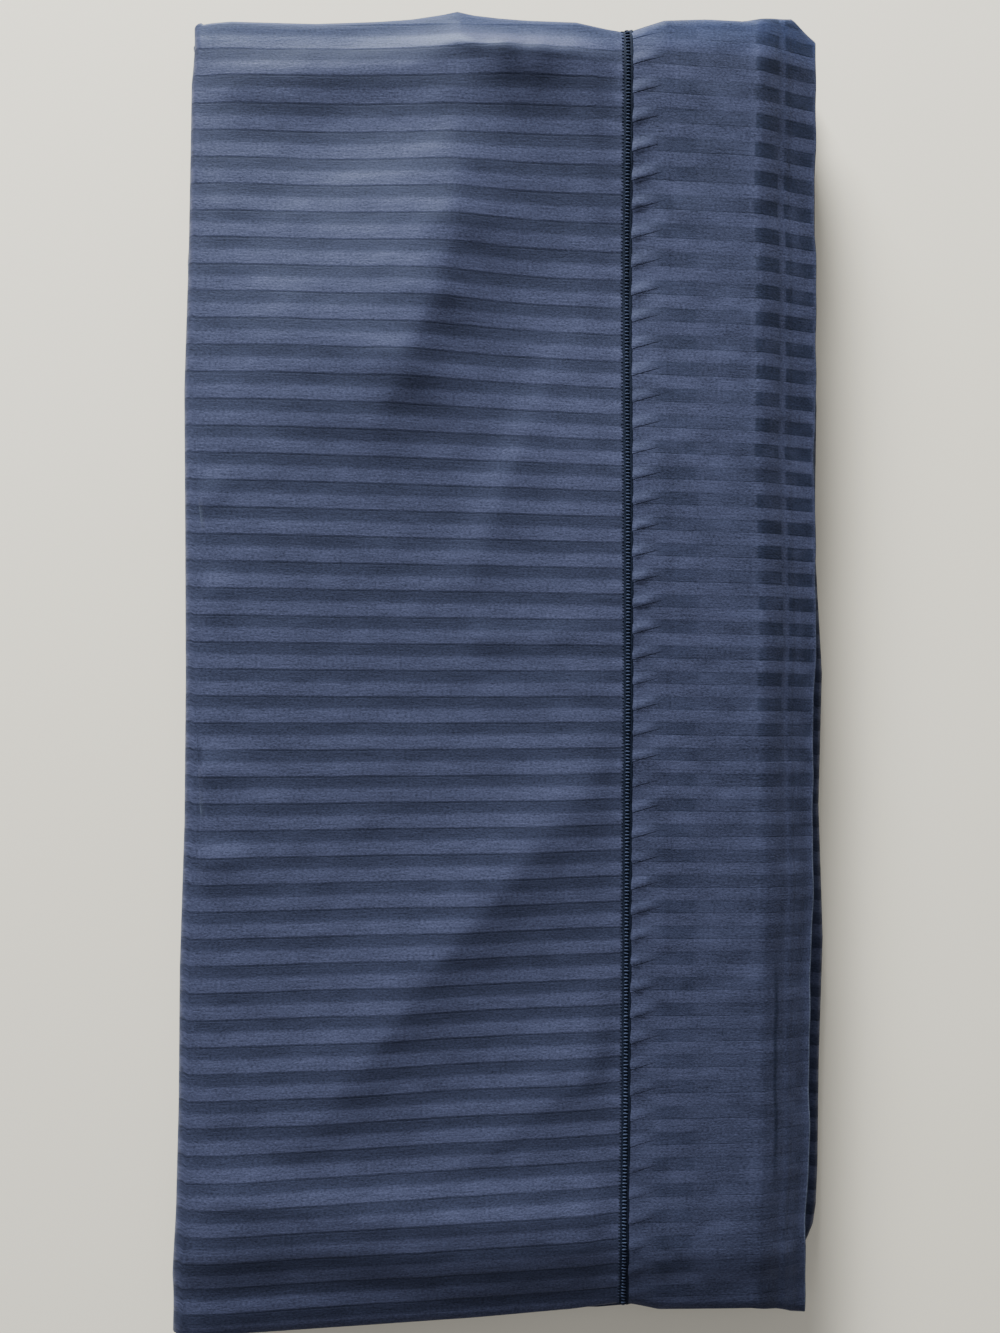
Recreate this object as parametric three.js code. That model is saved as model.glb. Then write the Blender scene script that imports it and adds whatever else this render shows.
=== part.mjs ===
// A king size flat sheet with a deep top hem, folded in four across its width and then
// back and forth in eight along its length. Millimetres, +Z up. The origin is on the surface
// that the packet lies on, under the middle of its outline. +Y runs along the long side,
// and the hem lies on top along the +X side.
import * as THREE from "three";

// The cloth. Its layers are a little apart, as in a packet that nobody presses down.
const clothThick = 1.05;
const layerGap = 0.27;
const layerPitch = clothThick + layerGap;

// The quarter fold across the sheet's width, which makes a strip of four layers.
const halfLength = 343;
const selvedgeRecess = 4;
const foldRadius = { outer: 1.5 * layerPitch, inner: 0.5 * layerPitch };
const farCentre = halfLength - foldRadius.outer - clothThick / 2;
const nearCentre = -halfLength + foldRadius.inner + clothThick / 2;
const strip = { pitch: 4 * layerPitch, reach: 4 * layerPitch - layerGap / 2 };

// The turns of the strip, from the hem's edge on top down to the foot end at the bottom.
// reach is how far each lies out on its side, and swell is how much further it stands out
// where the packet is fullest.
const turns = [
  { place: "hem edge", side: 1, reach: 171.5, swell: 0 },
  { place: "fold 1", side: -1, reach: 158, swell: 0 },
  { place: "fold 2", side: 1, reach: 141, swell: 1 },
  { place: "fold 3", side: -1, reach: 155, swell: 2 },
  { place: "fold 4", side: 1, reach: 155, swell: 0 },
  { place: "fold 5", side: -1, reach: 159, swell: -1 },
  { place: "fold 6", side: 1, reach: 171, swell: 13 },
  { place: "fold 7", side: -1, reach: 156, swell: 1 },
  { place: "foot end", side: 1, reach: 169, swell: 9 },
];
const fullest = { at: -200, spread: 350 };

// The hem band is doubled cloth. It sinks past the two folds below it that stop short.
const hemStart = 68.5;
const hemExtra = 0.3;
const sags = [
  { from: 137, run: 18, drop: 8.5 },
  { from: 154, run: 18, drop: 7 },
];

// Soft diagonal ridges in the top layer. Each is steep on its upper left and fades
// towards its lower right.
const ridges = [
  { fromX: -4, fromY: 322, toX: -12, toY: 215, height: 3, width: 26 },
  { fromX: -6, fromY: 235, toX: -72, toY: 110, height: 3.5, width: 30 },
  { fromX: 52, fromY: 160, toX: -10, toY: 36, height: 4.5, width: 32 },
  { fromX: 2, fromY: 60, toX: -66, toY: -66, height: 2.5, width: 24 },
  { fromX: 56, fromY: -42, toX: -26, toY: -146, height: 5.5, width: 38 },
  { fromX: -10, fromY: -126, toX: -108, toY: -252, height: 5, width: 36 },
  { fromX: 58, fromY: -198, toX: -52, toY: -292, height: 3.5, width: 24 },
];
const ridgeFade = { cord: 16, side: 26, end: 30 };

// The edges of the top layer at the two ends. The seam draws them in beside the cord.
const topEnds = [
  { x: -160, near: -335, far: 331 },
  { x: -118, near: -334, far: 335 },
  { x: -62, near: -333, far: 337.5 },
  { x: -36, near: -333, far: 341 },
  { x: -10, near: -332, far: 346 },
  { x: 16, near: -331, far: 341.5 },
  { x: 42, near: -330, far: 341.5 },
  { x: 68.5, near: -328, far: 337 },
  { x: 88, near: -332.5, far: 344.5 },
  { x: 136, near: -334.5, far: 346 },
  { x: 160, near: -340, far: 351 },
  { x: 172, near: -342, far: 345 },
];
const lowerEnds = [
  { x: -160, near: -335, far: 331 },
  { x: 172, near: -326, far: 336 },
];

// How far the sides stand out along the packet, as a share of their reach.
const sides = [
  { y: -343, left: 1.04, right: 0.985 },
  { y: -300, left: 1.03, right: 0.972 },
  { y: -240, left: 1.022, right: 0.985 },
  { y: -90, left: 1.006, right: 0.996 },
  { y: 0, left: 0.996, right: 1.004 },
  { y: 90, left: 1.004, right: 1.005 },
  { y: 240, left: 0.985, right: 1.005 },
  { y: 343, left: 0.962, right: 1.003 },
];

// The packet rolls off towards its two ends.
const rollOff = { start: 300, share: 0.12 };

// The raised line of stitches that closes the hem.
const cord = { width: 4.6, height: 1.5, gap: 0.5, wrap: 110, facets: 5 };

// The steps of the mesh: rows along the packet and columns across the top layer.
const rows = {
  coarse: [-300, -90, 90, 300],
  fine: Array.from({ length: 23 }, (_, i) => -330 + 30 * i),
  cord: [-330, -300, -90, 90, 300, 330],
};
const topColumns = [166, 160, 154, 148, 142, 136, 112, 88, 68.5, 42, 16, -10, -36, -62, -88, -118];
const stripSteps = 4;
const quarterSteps = 3;
const closingKey = 100;

const radians = THREE.MathUtils.degToRad;
const { lerp, clamp, smoothstep } = THREE.MathUtils;

// Reads a column of a table whose rows run upwards in another column.
function readTable(table, along, column, value) {
  const found = table.findIndex((row) => value <= row[along]);
  const high = found < 0 ? table.length - 1 : Math.max(found, 1);
  const [a, b] = [table[high - 1], table[high]];
  const share = clamp((value - a[along]) / (b[along] - a[along]), 0, 1);
  return lerp(a[column], b[column], share);
}

// The cloth across the quarter fold: points (y, h) on one side of the cloth, with h the
// height in the strip. key counts along the cloth, and top marks the top layer.
function quarterFold(offset, topRows) {
  const points = [];
  const { outer, inner } = foldRadius;
  const selvedge = -halfLength + selvedgeRecess;

  function run(leg, fromY, toY, h, face, between, top = false) {
    const ahead = toY > fromY ? between : between.toReversed();
    for (const y of [fromY, ...ahead, toY]) {
      points.push({ y, h: h + face * offset, key: leg + (y - fromY) / (toY - fromY) / 2, top });
    }
  }
  function bend(leg, y, h, radius, from, to, grow) {
    const r = radius + grow * offset;
    for (let i = 1; i < quarterSteps; i += 1) {
      const a = radians(lerp(from, to, i / quarterSteps));
      const key = leg + 0.5 + i / quarterSteps / 2;
      points.push({ y: y + r * Math.cos(a), h: h + r * Math.sin(a), key, top: false });
    }
  }

  run(0, selvedge, farCentre, -outer, -1, rows.coarse);
  bend(0, farCentre, 0, outer, -90, 90, 1);
  run(1, farCentre, nearCentre, outer, 1, topRows, true);
  bend(1, nearCentre, layerPitch, inner, 90, 270, 1);
  run(2, nearCentre, farCentre, inner, -1, rows.coarse);
  bend(2, farCentre, 0, inner, 90, -90, -1);
  run(3, farCentre, selvedge, -inner, 1, rows.coarse);
  return points;
}

// Both sides of the cloth as one closed loop.
function clothLoop(topRows) {
  const face = quarterFold(clothThick / 2, topRows).map((p) => ({ ...p, underside: false }));
  const back = quarterFold(-clothThick / 2, topRows).map((p) => ({ ...p, key: 8 - p.key, underside: true }));
  return [...face, ...back.toReversed()];
}

const sagAt = (x) => sags.reduce((sum, s) => sum + s.drop * smoothstep(x, s.from, s.from + s.run), 0);

// How high the ridges lift the top layer.
function ridgeAt(x, y) {
  let lift = 0;
  for (const r of ridges) {
    const [dx, dy] = [r.toX - r.fromX, r.toY - r.fromY];
    const length = Math.hypot(dx, dy);
    const along = ((x - r.fromX) * dx + (y - r.fromY) * dy) / length;
    const across = ((x - r.fromX) * -dy + (y - r.fromY) * dx) / length;
    const width = across < 0 ? 0.45 * r.width : r.width;
    const past = Math.max(-along, along - length, 0) / r.width;
    lift += (r.height * Math.exp(-((across / width) ** 2) - (past * 1.6) ** 2)) ** 3;
  }
  const clearOf = (distance, fade) => smoothstep(distance, 0.3 * fade, fade);
  return (
    Math.cbrt(lift)
    * clearOf(hemStart - x, ridgeFade.cord)
    * clearOf(x + 153, ridgeFade.side)
    * clearOf(halfLength - Math.abs(y), ridgeFade.end)
  );
}

const topHeight = (turns.length - 2) * strip.pitch + (strip.pitch - layerGap) / 2;
const tangentOf = (turn) => turn.side * (turn.reach - strip.reach);

// The strip's middle from the hem to the foot, with the direction of the strip's face.
function stripPath() {
  const path = [];
  for (const x of [turns[0].reach, ...topColumns]) {
    const slope = sagAt(x + 0.5) - sagAt(x - 0.5);
    const length = Math.hypot(1, slope);
    const place = { x, z: topHeight - sagAt(x), nx: slope / length, nz: 1 / length };
    path.push({ ...place, swell: 0, onTop: true });
  }
  path.push({ x: tangentOf(turns[1]), z: topHeight, nx: 0, nz: 1, swell: 0 });

  for (let i = 1; i < turns.length - 1; i += 1) {
    const { side, swell } = turns[i];
    const centreZ = topHeight - (i - 0.5) * strip.pitch;
    for (let k = 1; k <= stripSteps; k += 1) {
      const a = radians(90 - (side * 180 * k) / stripSteps);
      const [cos, sin] = [Math.cos(a), Math.sin(a)];
      const x = tangentOf(turns[i]) + (strip.pitch / 2) * cos;
      const z = centreZ + (strip.pitch / 2) * sin;
      path.push({ x, z, nx: -side * cos, nz: -side * sin, swell });
    }
    const next = turns[i + 1];
    const x = i + 2 < turns.length ? tangentOf(next) : next.reach;
    path.push({ x, z: centreZ - strip.pitch / 2, nx: 0, nz: side, swell: next.swell });
  }
  return path;
}

// Takes a point of the straight packet to its place in the uneven one.
function settle({ x, y, z, swell, onTop }) {
  const out = readTable(sides, "y", x < 0 ? "left" : "right", y);
  const full = Math.exp(-(((y - fullest.at) / fullest.spread) ** 2));
  const ends = onTop ? topEnds : lowerEnds;
  const [near, far] = [readTable(ends, "x", "near", x), readTable(ends, "x", "far", x)];
  const end = clamp((Math.abs(y) - rollOff.start) / (halfLength - rollOff.start), 0, 1);
  return new THREE.Vector3(
    x * out + Math.sign(x) * swell * full,
    lerp(near, far, (y + halfLength) / (2 * halfLength)),
    z * (1 - rollOff.share * end),
  );
}

const keyOf = (ring, k) => (k < ring.length ? ring[k].key : closingKey + k - ring.length);

// A closed solid through rings of points. Neighbouring rings are joined where their keys
// agree, with the same diagonals on both sides of the cloth. The first and last ring are
// closed by the triangles that capOf gives.
function solidOf(rings, capOf) {
  const index = [];
  const starts = [];
  let count = 0;
  for (const ring of rings) {
    starts.push(count);
    count += ring.length;
  }
  for (let n = 0; n + 1 < rings.length; n += 1) {
    const [a, b] = [rings[n], rings[n + 1]];
    const at = (k) => starts[n] + (k % a.length);
    const bt = (k) => starts[n + 1] + (k % b.length);
    let [i, j] = [0, 0];
    while (i < a.length || j < b.length) {
      const underside = a[Math.min(i, a.length - 1)].underside;
      const ahead = underside
        ? keyOf(a, i) < keyOf(b, j)
        : keyOf(a, i + 1) <= keyOf(b, j + 1) + 1e-9;
      if (ahead) {
        index.push(at(i), bt(j), at(i + 1));
        i += 1;
      } else {
        index.push(at(i), bt(j), bt(j + 1));
        j += 1;
      }
    }
  }
  const last = rings.length - 1;
  for (const [p, q, r] of capOf(rings[0].length)) index.push(p, q, r);
  for (const [p, q, r] of capOf(rings[last].length)) {
    index.push(starts[last] + p, starts[last] + r, starts[last] + q);
  }
  const points = rings.flat().flatMap(({ at: p }) => [p.x, p.y, p.z]);
  const geometry = new THREE.BufferGeometry();
  geometry.setAttribute("position", new THREE.Float32BufferAttribute(points, 3));
  geometry.setIndex(index);
  return geometry;
}

function sheetGeometry() {
  const [fineLoop, coarseLoop] = [clothLoop(rows.fine), clothLoop(rows.coarse)];
  const rings = stripPath().map((place) =>
    (place.onTop ? fineLoop : coarseLoop).map(({ y, h, key, top, underside }) => {
      const doubled = !underside && place.x > hemStart ? hemExtra : 0;
      const lift = place.onTop && top ? ridgeAt(place.x, y) + doubled : 0;
      const x = place.x + place.nx * (h + lift);
      const z = place.z + place.nz * (h + lift);
      return { key, underside, at: settle({ ...place, x, y, z }) };
    }),
  );
  const capOf = (size) => {
    const triangles = [];
    for (let i = 0; i + 1 < size / 2; i += 1) {
      triangles.push([i, i + 1, size - 1 - i], [i + 1, size - 2 - i, size - 1 - i]);
    }
    return triangles;
  };
  return solidOf(rings, capOf);
}

// The cord lies over the top layer and bends round the fold at each end of it.
function cordGeometry() {
  const { outer, inner } = foldRadius;
  const stops = [];
  const bend = (y, h, radius, from, to) => {
    for (let i = 0; i <= quarterSteps; i += 1) {
      stops.push({ y, h, radius, angle: radians(lerp(from, to, i / quarterSteps)) });
    }
  };
  bend(farCentre, 0, outer, 90 - cord.wrap, 90);
  for (const y of rows.cord.toReversed()) stops.push({ y, h: outer, radius: 0, angle: radians(90) });
  bend(nearCentre, layerPitch, inner, 90, 90 + cord.wrap);

  const rings = stops.map(({ y, h, radius, angle }) => {
    const ring = [];
    for (let k = 0; k <= cord.facets; k += 1) {
      const turn = Math.PI * (k / cord.facets);
      const off = radius + clothThick / 2 + hemExtra + cord.gap + cord.height * Math.sin(turn);
      const point = {
        x: hemStart - (cord.width / 2) * Math.cos(turn),
        y: y + off * Math.cos(angle),
        z: topHeight + h + off * Math.sin(angle),
        swell: 0,
        onTop: true,
      };
      ring.push({ key: k, underside: false, at: settle(point) });
    }
    return ring;
  });
  const capOf = (size) => Array.from({ length: size - 2 }, (_, k) => [0, k + 1, k + 2]);
  return solidOf(rings, capOf);
}

const clothFinish = new THREE.MeshStandardMaterial({ color: 0x3f4a66, roughness: 0.62, metalness: 0 });
const threadFinish = new THREE.MeshStandardMaterial({ color: 0x1b2233, roughness: 0.7, metalness: 0 });

const sheet = new THREE.Mesh(sheetGeometry(), clothFinish);
sheet.name = "sheet";
const hemCord = new THREE.Mesh(cordGeometry(), threadFinish);
hemCord.name = "hem_cord";

const packet = new THREE.Group();
packet.add(sheet, hemCord);

// The origin goes under the middle of the outline.
const middle = new THREE.Box3().setFromObject(packet).getCenter(new THREE.Vector3());
sheet.position.set(-middle.x, -middle.y, 0);
hemCord.position.copy(sheet.position);

export default packet;
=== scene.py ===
import bpy
import math
from mathutils import Matrix, Vector, noise


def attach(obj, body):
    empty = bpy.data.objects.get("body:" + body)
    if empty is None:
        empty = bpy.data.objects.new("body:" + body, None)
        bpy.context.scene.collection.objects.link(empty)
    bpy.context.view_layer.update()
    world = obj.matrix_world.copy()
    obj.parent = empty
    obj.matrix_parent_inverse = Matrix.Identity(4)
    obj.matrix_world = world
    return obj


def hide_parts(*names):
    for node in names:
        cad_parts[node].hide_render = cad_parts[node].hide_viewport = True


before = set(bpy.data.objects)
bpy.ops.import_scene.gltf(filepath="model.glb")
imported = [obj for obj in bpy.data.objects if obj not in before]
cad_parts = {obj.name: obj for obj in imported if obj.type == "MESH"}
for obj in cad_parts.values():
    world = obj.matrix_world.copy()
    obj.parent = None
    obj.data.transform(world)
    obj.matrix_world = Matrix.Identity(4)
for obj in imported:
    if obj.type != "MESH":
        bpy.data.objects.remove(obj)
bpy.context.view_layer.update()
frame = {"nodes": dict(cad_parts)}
print("frame loaded:", ", ".join(frame["nodes"]))

mm = 0.001  # lengths below are in millimetres, and meshes are made in metres


def lerp(a, b, t):
    return a + (b - a) * t


def clamp(value, low=0.0, high=1.0):
    return max(low, min(high, value))


def smooth(value, low, high):  # 0 below low, 1 above high
    t = clamp((value - low) / (high - low))
    return t * t * (3 - 2 * t)


def readTable(rows, value):  # rows of (place, amount) that run upwards
    for (a, fromA), (b, toB) in zip(rows, rows[1:]):
        if value <= b:
            return lerp(fromA, toB, clamp((value - a) / (b - a)))
    return rows[-1][1]


def wave(value, length, phase):
    return math.sin(2 * math.pi * (value / length + phase))


def noiseAt(x, y, size, seed):
    return noise.noise(Vector((x / size, y / size, seed * 7.3)))


# The camera and the light

view = {  # the tilt is in degrees, and the aim is on the cloth
    "distance": 700, "tilt": 6.1, "aim": (2.3, 5.15, 40), "focalPixels": 1359, "photoWidth": 1000,
    "sensor": 36.0,
}
origin = {"x": 8.81, "y": 4.38}  # the frame's origin, measured from the middle of the cloth's own sizes

tilt = math.radians(view["tilt"])
lookDirection = Vector((math.sin(tilt), 0, -math.cos(tilt)))
aimPoint = Vector(view["aim"]) - Vector((origin["x"], origin["y"], 0))
cameraData = bpy.data.cameras.new("camera")
cameraData.sensor_fit = "HORIZONTAL"
cameraData.sensor_width = view["sensor"]
cameraData.lens = view["sensor"] * view["focalPixels"] / view["photoWidth"]
camera = bpy.data.objects.new("camera", cameraData)
rightDirection = Vector((math.cos(tilt), 0, math.sin(tilt)))
turn = Matrix((rightDirection, Vector((0, 1, 0)), -lookDirection)).transposed().to_4x4()
camera.matrix_world = Matrix.Translation((aimPoint - lookDirection * view["distance"]) * mm) @ turn
bpy.context.scene.collection.objects.link(camera)
bpy.context.scene.camera = camera


def addLight(name, place, target, size, power, colour):
    data = bpy.data.lights.new(name, "AREA")
    data.shape = "RECTANGLE"
    data.size, data.size_y = size
    data.energy = power
    data.color = colour
    lamp = bpy.data.objects.new(name, data)
    lamp.location = place
    lamp.rotation_euler = (Vector(target) - Vector(place)).to_track_quat("-Z", "Y").to_euler()
    bpy.context.scene.collection.objects.link(lamp)


lights = {
    "window": {"place": (-0.85, 2.83, 0.92), "target": (0, 0, 0), "size": (1.2, 0.8), "power": 430,
               "colour": (0.94, 0.98, 1)},
    "ceiling": {"place": (-0.2, 0.1, 2.4), "target": (0, 0, 0), "size": (2.2, 2.2), "power": 14,
                "colour": (0.96, 0.98, 1)},
}
room = {"Color": (0.86, 0.9, 1.0, 1), "Strength": 0.22}
for name, lamp in lights.items():
    addLight(name, **lamp)
world = bpy.data.worlds.new("room")
world.use_nodes = True
for name, value in room.items():
    world.node_tree.nodes["Background"].inputs[name].default_value = value
bpy.context.scene.world = world
print("camera and lights placed")


# Shader maths

objectSpace = 3  # the texture coordinates' output that gives places in metres


class Socket:  # a node's output that can be used in sums
    def __init__(self, graph, out):
        self.graph, self.out = graph, out

    def __add__(self, other):
        return self.graph.maths("ADD", self, other)

    def __sub__(self, other):
        return self.graph.maths("SUBTRACT", self, other)

    def __mul__(self, other):
        return self.graph.maths("MULTIPLY", self, other)

    def __truediv__(self, other):
        return self.graph.maths("DIVIDE", self, other)

    def __rsub__(self, other):
        return self.graph.maths("SUBTRACT", other, self)

    __radd__ = __add__
    __rmul__ = __mul__


class Graph:
    def __init__(self, name):
        self.material = bpy.data.materials.new(name)
        self.material.use_nodes = True
        self.tree = self.material.node_tree
        self.shader = self.tree.nodes["Principled BSDF"]

    def connect(self, source, target):
        if isinstance(source, Socket):
            self.tree.links.new(source.out, target)
        else:
            target.default_value = source

    def node(self, kind, settings=None, inputs=None, output=0):
        made = self.tree.nodes.new(kind)
        for key, value in (settings or {}).items():
            setattr(made, key, value)
        for key, value in (inputs or {}).items():
            self.connect(value, made.inputs[key])
        return Socket(self, made.outputs[output])

    def maths(self, operation, a, b=0.0, c=0.0):
        return self.node("ShaderNodeMath", {"operation": operation}, {0: a, 1: b, 2: c})

    def step(self, value, low, high):  # a smooth step between two values
        kind = {"interpolation_type": "SMOOTHSTEP"}
        return self.node("ShaderNodeMapRange", kind, {0: value, 1: low, 2: high, 3: 0.0, 4: 1.0})

    def span(self, value, start, full, fading, end):  # 0 outside start and end, 1 between full and fading
        return self.step(value, start, full) * (1 - self.step(value, fading, end))

    def bell(self, value, centre, width):  # 1 at the centre, 0 from the width on
        far = self.maths("ABSOLUTE", value - centre)
        return 1 - self.step(far, 0.0, width)

    def mix(self, share, a, b, blend="MIX"):
        made = self.tree.nodes.new("ShaderNodeMix")
        made.data_type = "RGBA"
        made.blend_type = blend
        self.connect(share, made.inputs[0])
        self.connect(a, made.inputs[6])
        self.connect(b, made.inputs[7])
        return Socket(self, made.outputs[2])

    def grey(self, value):
        return self.node("ShaderNodeCombineColor", None, {0: value, 1: value, 2: value})

    def noise(self, vector, scale, detail=2.0, roughness=0.5):
        inputs = {"Vector": vector, "Scale": scale, "Detail": detail, "Roughness": roughness}
        return self.node("ShaderNodeTexNoise", {"noise_dimensions": "3D"}, inputs)

    def split(self, vector):
        parts = self.node("ShaderNodeSeparateXYZ", None, {0: vector})
        return parts, Socket(self, parts.out.node.outputs[1])

    def stretch(self, vector, x, y, z=1.0):
        return self.node("ShaderNodeVectorMath", {"operation": "MULTIPLY"}, {0: vector, 1: (x, y, z)})

    def bump(self, height, strength, distance, under=None):
        inputs = {"Strength": strength, "Distance": distance, "Height": height}
        if under:
            inputs["Normal"] = under
        return self.node("ShaderNodeBump", None, inputs)

    def finish(self, values):
        for name, value in values.items():
            self.connect(value, self.shader.inputs[name])
        return self.material


# The cloth's shape: the same double fold as the solid, with thinner cloth and finer steps.
# A quarter fold of four layers, seen from the side, runs back and forth as a strip along a path from
# right to left and down. The top layer is leg 1 of the quarter fold, and topRun is how far the stripe
# pattern goes on it from the far bend to the near one.

cloth = {
    "pitch": 1.32, "thick": 0.8, "halfLength": 343, "selvedgeRecess": 4, "solidThick": 1.05,
    "stripLayers": 4, "foldReachLoss": 0.135, "bendSteps": 9, "topRun": 681, "backDrop": 0.2,
}
turns = [  # side, reach, how much more it stands out where the packet is fullest, unevenness
    (1, 171.5, 0, 0.5), (-1, 158, 0, 0.6), (1, 141, 1, 1.0), (-1, 155, 2, 1.3), (1, 155, 0, 1.0),
    (-1, 159, -1, 1.4), (1, 172, 12.5, 1.0), (-1, 156, 1, 1.2), (1, 169, 9, 1.0),
]
fullest = {"at": -200, "spread": 450, "fade": (-346, -298), "least": 0.1}
# the turns wander in and out by waves of (length, size, how much faster the phase runs on from turn to turn)
ripples = {"phase": 0.37, "over": (60, 150), "waves": [(148, 1, 1), (67, 0.6, 2.1), (31, 0.35, 3.3)]}
hem = {
    "start": 68.5, "extra": 0.35, "extraRun": 2, "turnIn": (89.5, 91.5), "turnInHeight": 0.25,
    "creases": [(137.5, 1.8, 0.4), (153.2, 1.5, 0.5)],  # at, width, height
}
sags = [(137, 21, 6.2), (154, 18, 3.6)]  # from, run and drop of the hem's two steps
creep = {"size": 4, "along": (-245, 190), "start": (122, 140), "end": (154, 170)}  # of the hem's outer step
# where the packet loses height towards its ends, also by a step at the near one, and at its left edge
endSinks = {
    "far": {"start": 318, "share": 0.05},
    "near": {"start": 326, "share": 0.05, "step": 306, "stepSlant": 12, "slantOver": (-10, 120),
             "stepRun": 29, "stepShare": 0.095},
}
leftSink = {"start": -138, "run": 20, "share": 0.05}

stripPitch = cloth["stripLayers"] * cloth["pitch"]
topHeight = (len(turns) - 2) * stripPitch + stripPitch / 2 - cloth["foldReachLoss"]

# how far out the sides lie, as shares of x, for places along y
sideShare = {
    "left": [(-343, 1.04), (-300, 1.03), (-240, 1.022), (-160, 1.012), (-90, 1.006), (-45, 1.006),
             (0, 0.994), (45, 1.0), (90, 1.004), (160, 0.996), (240, 0.985), (300, 0.976), (343, 0.974)],
    "right": [(-343, 0.985), (-300, 0.972), (-240, 0.985), (-90, 0.996), (0, 1.004), (90, 1.005),
              (240, 1.005), (343, 1.003)],
}
# where the ends of the top strip and of the lower strips lie, for places along x
topNear = [(-160, -335), (-118, -334), (-62, -333), (-10, -332), (16, -331), (42, -330), (60, -328.5),
           (68.5, -328), (78, -330), (88, -332.5), (136, -334.5), (150, -337), (160, -340), (172, -342)]
topFar = [(-160, 328), (-152, 331), (-138, 332.5), (-118, 333), (-95, 333.5), (-62, 336), (-44, 338),
          (-28, 341), (-20, 343), (-12, 341.5), (2, 340.5), (16, 340), (42, 340), (58, 337), (68.5, 335.5),
          (78, 339), (88, 342.5), (110, 344), (130, 344), (148, 348), (158, 350), (166, 344), (172, 340)]
lowerEnds = {  # each wave has a length, a size and a shift from strip to strip
    "near": {"line": [(-160, -335), (172, -331)], "waves": [(170, 1.1, 0.31), (61, 0.5, 0.77)], "inset": 0.8},
    "far": {"line": [(-160, 331), (172, 336)], "waves": [(150, 1.1, 0.43), (57, 0.5, 0.19)], "inset": -0.8},
}

# Soft folds of the top cloth, each a crest of (x, y, height) that rises on its right and falls off on its
# left as one follows it, with the run of the rise and of the fall. A fold can also have how round its crest
# is, the power of its rise, how far its pieces blend, and how far it fades before the left edge.
foldUsual = {"round": 5, "power": 1.6, "blend": 6, "edge": 24}
foldFade = {"leftX": -153, "hem": (3, 22), "ends": (3, 20), "power": 3}
folds = {
    "upper": {"rise": 84, "fall": 38, "round": 9, "crest": [
        (-26, 343, 2.6), (-24, 300, 5.8), (-21, 262, 8.4), (-22, 232, 10.6), (-32, 196, 12.0),
        (-47, 160, 11.2), (-62, 134, 6.6), (-86, 104, 0)]},
    "shoulder": {"rise": 92, "fall": 120, "round": 26, "blend": 14, "edge": 56, "crest": [
        (-30, 192, 0), (-60, 180, 4.4), (-104, 168, 5.8), (-156, 160, 5.8)]},
    "middle": {"rise": 34, "fall": 18, "crest": [
        (66, 172, 1.0), (44, 170, 2.0), (30, 158, 2.6), (17, 128, 3.2), (1, 84, 3.8), (-8, 56, 3.0),
        (-22, 18, 0)]},
    "middleSmall": {"rise": 30, "fall": 13, "crest": [
        (-36, 92, 0), (-44, 78, 1.6), (-56, 61, 2.2), (-74, 48, 1.2), (-90, 40, 0)]},
    "level1": {"rise": 14, "fall": 12, "crest": [(74, 20, 0.8), (30, 19, 1.5), (-6, 17, 2.0), (-30, 14, 0)]},
    "level2": {"rise": 12, "fall": 11, "crest": [(74, -4, 1.6), (44, -8, 1.3), (10, -7, 0.8), (-24, -9, 0)]},
    "level3": {"rise": 10, "fall": 16, "crest": [
        (74, -36, 1.0), (20, -42, 1.2), (-30, -40, 0.7), (-60, -44, 0)]},
    "lower": {"rise": 80, "fall": 25, "power": 2.4, "crest": [
        (84, -28, 1.0), (62, -46, 2.2), (39, -73, 3.4), (1, -117, 4.6), (-35, -160, 4.8), (-69, -207, 4.2),
        (-96, -238, 2.2), (-120, -264, 0)]},
    "lowest": {"rise": 56, "fall": 20, "crest": [
        (84, -184, 2.4), (64, -200, 3.2), (40, -222, 3.0), (14, -240, 2.2), (-20, -262, 1.2),
        (-46, -280, 0)]},
    "nearEnd": {"rise": 34, "fall": 30, "crest": [
        (66, -293, 3.0), (20, -291, 3.4), (-40, -288, 3.4), (-80, -280, 3.4), (-120, -272, 3.4),
        (-156, -266, 3.2)]},
    "farEnd": {"rise": 22, "fall": 26, "crest": [
        (-10, 318, 0), (-30, 318, 3.2), (-60, 315, 3.9), (-100, 313, 3.4), (-156, 312, 1.6)]},
    "farEndRight": {"rise": 24, "fall": 38, "crest": [
        (80, 326, 1.6), (58, 325, 3.6), (38, 324, 5.4), (22, 324, 8.6), (4, 324, 10.2), (-12, 324, 7.8),
        (-26, 322, 3.6), (-40, 320, 0)]},
    "leftEdge1": {"rise": 14, "fall": 12, "edge": 9, "crest": [
        (-118, 98, 0), (-138, 96, 1.4), (-158, 95, 1.9)]},
    "leftEdge2": {"rise": 14, "fall": 12, "edge": 9, "crest": [
        (-112, 50, 0), (-138, 46, 1.5), (-158, 45, 2.0)]},
    "leftEdge3": {"rise": 14, "fall": 12, "edge": 9, "crest": [
        (-110, -46, 0), (-136, -47, 1.5), (-158, -48, 2.0)]},
    "leftEdge4": {"rise": 16, "fall": 13, "edge": 9, "crest": [
        (-104, -92, 0), (-134, -94, 1.7), (-158, -95, 2.2)]},
}

hollows = [  # middle, reach along x and y, and the share of the height by which the whole packet sinks there
    (-108, 306, 104, 74, 0.07), (-64, 284, 74, 26, 0.045), (24, 198, 60, 84, 0.16), (14, -190, 60, 70, 0.035),
    (118, 326, 64, 66, -0.06),
]


def bendPlaces():  # the radii of the outer and inner bends, and where the far and near bends start
    pitch, half, thick = cloth["pitch"], cloth["halfLength"], cloth["solidThick"]
    outer, inner = 1.5 * pitch, 0.5 * pitch
    return outer, inner, half - outer - thick / 2, -half + inner + thick / 2


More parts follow.
